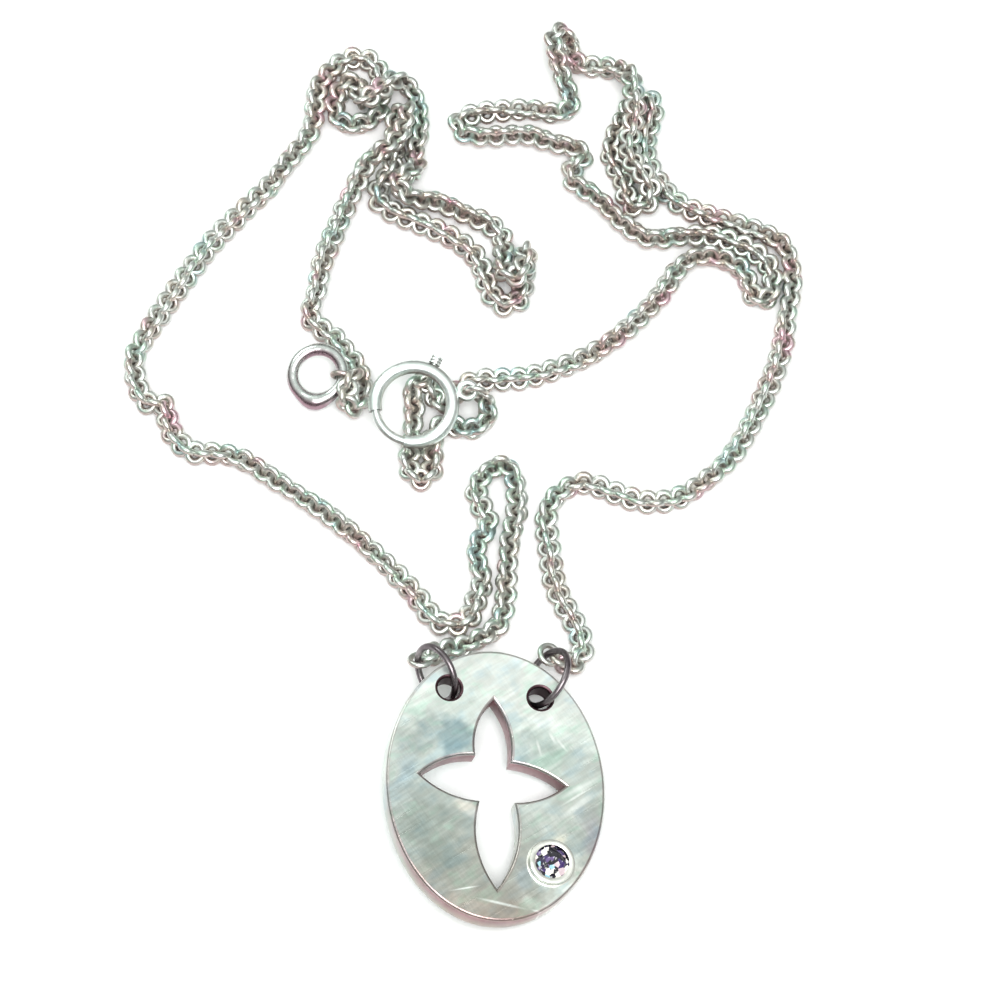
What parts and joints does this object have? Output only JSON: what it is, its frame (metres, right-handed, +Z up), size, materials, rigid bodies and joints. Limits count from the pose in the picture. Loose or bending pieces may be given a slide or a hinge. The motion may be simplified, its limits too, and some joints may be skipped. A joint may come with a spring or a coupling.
{
  "type": "cross necklace",
  "caption": "Unclasped chain necklace lying loose, with an oval plate pendant that has a pierced cross and a small set stone, a spring ring clasp and an end ring.",
  "frame": {"origin": "on the surface it lies on, under the middle of its bounding box", "axes": "+Z up from the surface, +Y from the pendant towards the far end of the chain, +X to the right with the plate's stone face up"},
  "size_m": [0.0526, 0.0764, 0.0056],
  "materials": {
    "brushed_silver": "brushed, finely scratched",
    "chain_silver": "worn polish, dark between the links",
    "ring_silver": "worn polish",
    "violet_stone": "polished facets"
  },
  "bodies": {
    "necklace": {"pendant_plate": "brushed_silver", "stone": "violet_stone", "jump_ring_left": "ring_silver", "jump_ring_right": "ring_silver", "chain_left": "chain_silver", "chain_right": "chain_silver", "end_ring": "ring_silver", "clasp_body": "ring_silver"},
    "gate": {"clasp_gate": "ring_silver"}
  },
  "joints": [
    {"name": "gate_slide_round", "type": "hinge", "parent": "necklace", "child": "gate", "pos_m": [-0.00386, 0.00366, 0.0027], "axis": [0, 0.2079, -0.9781], "range_deg": [0, 29], "stiffness_Nm_per_rad": 0.00002, "springref_deg": -11.46}
  ]
}
